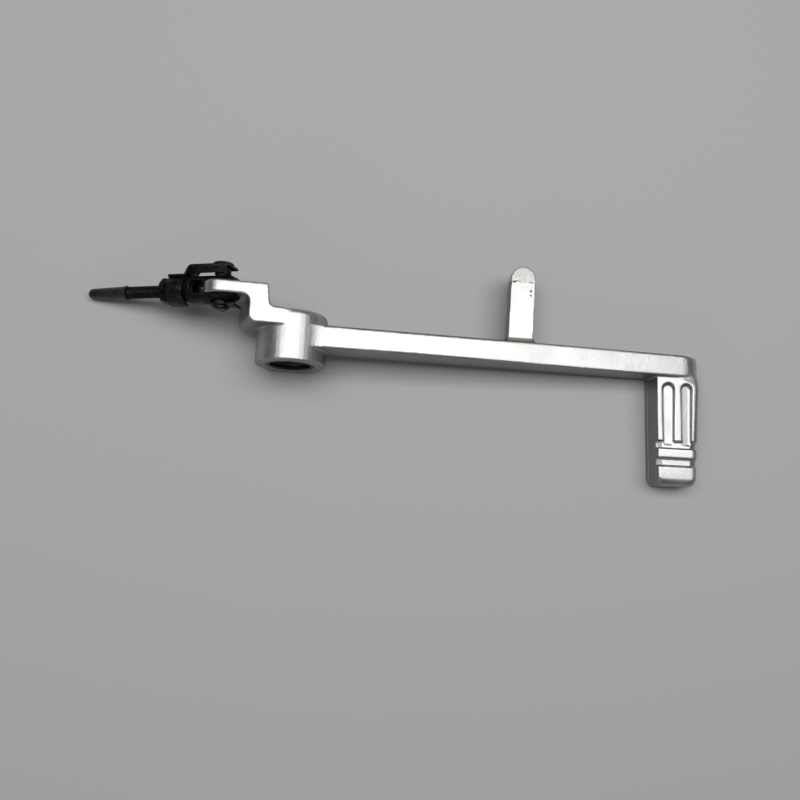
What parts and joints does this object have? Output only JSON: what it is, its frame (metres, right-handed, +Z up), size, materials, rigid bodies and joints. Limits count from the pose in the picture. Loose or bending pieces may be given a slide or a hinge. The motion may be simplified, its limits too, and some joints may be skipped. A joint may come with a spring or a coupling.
{
  "type": "motorcycle gear shift lever",
  "caption": "Cast motorcycle gear shift lever with a grooved toe peg, a stop tab, a bushed pivot boss and a cranked arm that carries a clevis, spring clip and adjustable link rod.",
  "frame": {"origin": "under the middle of the whole assembly as it lies on its side, on the surface it lies on", "axes": "+X along the arm from the pivot towards the toe peg, +Y along the pivot axis towards the stop tab's side, +Z up from the surface, square to the lever's swing axis"},
  "size_m": [0.2748, 0.094, 0.0318],
  "materials": {
    "bright_casting": "satin, shot blasted, clear coated",
    "bush_steel": "greasy plain bearing",
    "seal_rubber": "matte black lip seal",
    "blackened_steel": "blackened, oily",
    "dark_pin_steel": "dark, worn bright on its end",
    "clip_spring_steel": "phosphated spring steel, oily",
    "brown_thread": "brown, oily thread",
    "black_cap": "smooth black"
  },
  "bodies": {
    "lever": {"lever_casting": "bright_casting", "front_pivot_bush": "bush_steel", "rear_pivot_bush": "bush_steel", "front_dust_seal": "seal_rubber", "rear_dust_seal": "seal_rubber", "eye_bush": "bush_steel"},
    "clevis": {"clevis_fork": "blackened_steel"},
    "pin": {"clevis_pin": "dark_pin_steel", "locking_clip": "clip_spring_steel", "pin_washer": "clip_spring_steel", "retaining_ring": "dark_pin_steel"},
    "nut": {"lock_nut": "blackened_steel"},
    "rod": {"adjuster_rod": "brown_thread", "rod_cap": "black_cap"}
  },
  "joints": [
    {"name": "clevis_swing", "type": "hinge", "parent": "lever", "child": "clevis", "pos_m": [-0.07755, 0.0244, 0.02423], "axis": [0, 1, 0], "range_deg": [-60, 65]},
    {"name": "clip_swing", "type": "hinge", "parent": "clevis", "child": "pin", "pos_m": [-0.07755, 0.0244, 0.02423], "axis": [0, 1, 0], "range_deg": [0, 90]},
    {"name": "rod_feed", "type": "slide", "parent": "clevis", "child": "nut", "axis": [-0.9367, 0, -0.3502], "range_m": [0, 0.003]},
    {"name": "rod_turn", "type": "hinge", "parent": "nut", "child": "rod", "pos_m": [-0.07755, 0.0244, 0.02423], "axis": [-0.9367, 0, -0.3502], "range_deg": [0, 1080]}
  ],
  "couplings": [
    {"joint": "rod_turn", "follows": "rod_feed", "rad_per_m": 6283.2}
  ]
}
